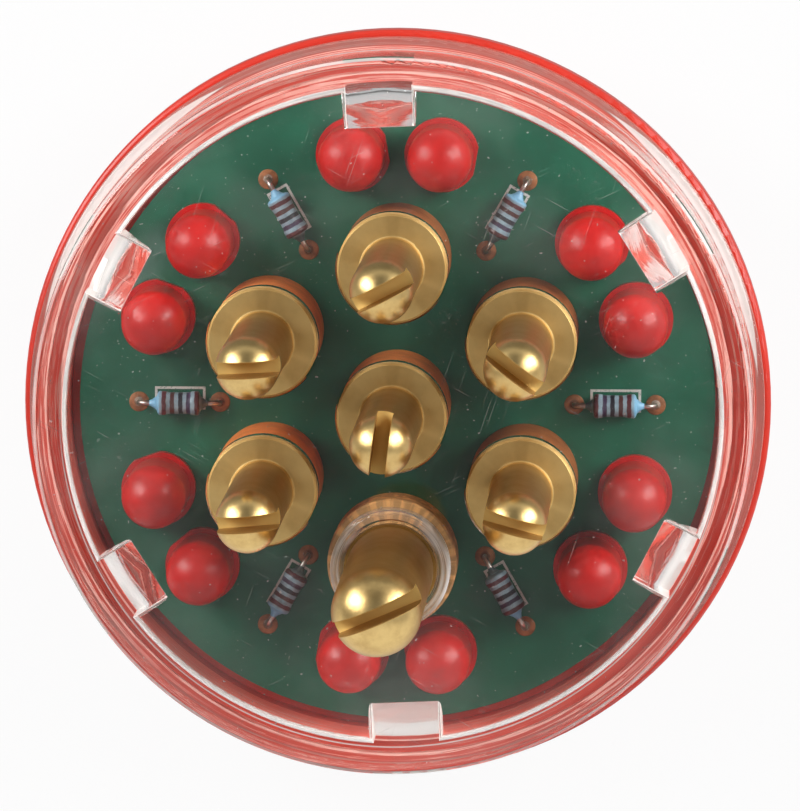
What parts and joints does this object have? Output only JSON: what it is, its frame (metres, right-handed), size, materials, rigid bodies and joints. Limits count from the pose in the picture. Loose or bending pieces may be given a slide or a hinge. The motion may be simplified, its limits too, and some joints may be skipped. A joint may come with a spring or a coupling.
{
  "type": "trailer cable circuit tester",
  "caption": "Round hand-held tester for a truck or trailer cable plug: slotted brass contact pins stand out of a clear cover over a board of red indicator lamps, on a red base.",
  "frame": {"origin": "centre of the base's flat underside", "axes": "+Z along the pins, away from the base; +Y towards the pin opposite the ground pin"},
  "size_m": [0.0584, 0.0584, 0.0488],
  "materials": {
    "red_base": "moulded gloss red",
    "clear_cover": "clear moulded plastic with fine scratches",
    "green_board": "green lacquered circuit board",
    "copper": "copper foil",
    "solder": "bright solder",
    "tinned_lead": "tinned wire",
    "brass": "turned brass",
    "red_lamp": "red diffused epoxy",
    "blue_resistor": "light blue lacquer with colour bands"
  },
  "bodies": {
    "root": {"base": "red_base", "cover": "clear_cover", "circuit_board": "green_board", "copper_tracks": "copper", "solder_joints": "solder", "lamp_leads": "tinned_lead", "resistor_leads": "tinned_lead", "pin_top": "brass", "pin_upper_left": "brass", "pin_lower_left": "brass", "pin_lower_right": "brass", "pin_upper_right": "brass", "pin_center": "brass", "ground_pin": "brass", "lamp_1": "red_lamp", "lamp_2": "red_lamp", "lamp_3": "red_lamp", "lamp_4": "red_lamp", "lamp_5": "red_lamp", "lamp_6": "red_lamp", "lamp_7": "red_lamp", "lamp_8": "red_lamp", "lamp_9": "red_lamp", "lamp_10": "red_lamp", "lamp_11": "red_lamp", "lamp_12": "red_lamp", "resistor_1": "blue_resistor", "resistor_2": "blue_resistor", "resistor_3": "blue_resistor", "resistor_4": "blue_resistor", "resistor_5": "blue_resistor", "resistor_6": "blue_resistor"}
  },
  "joints": []
}
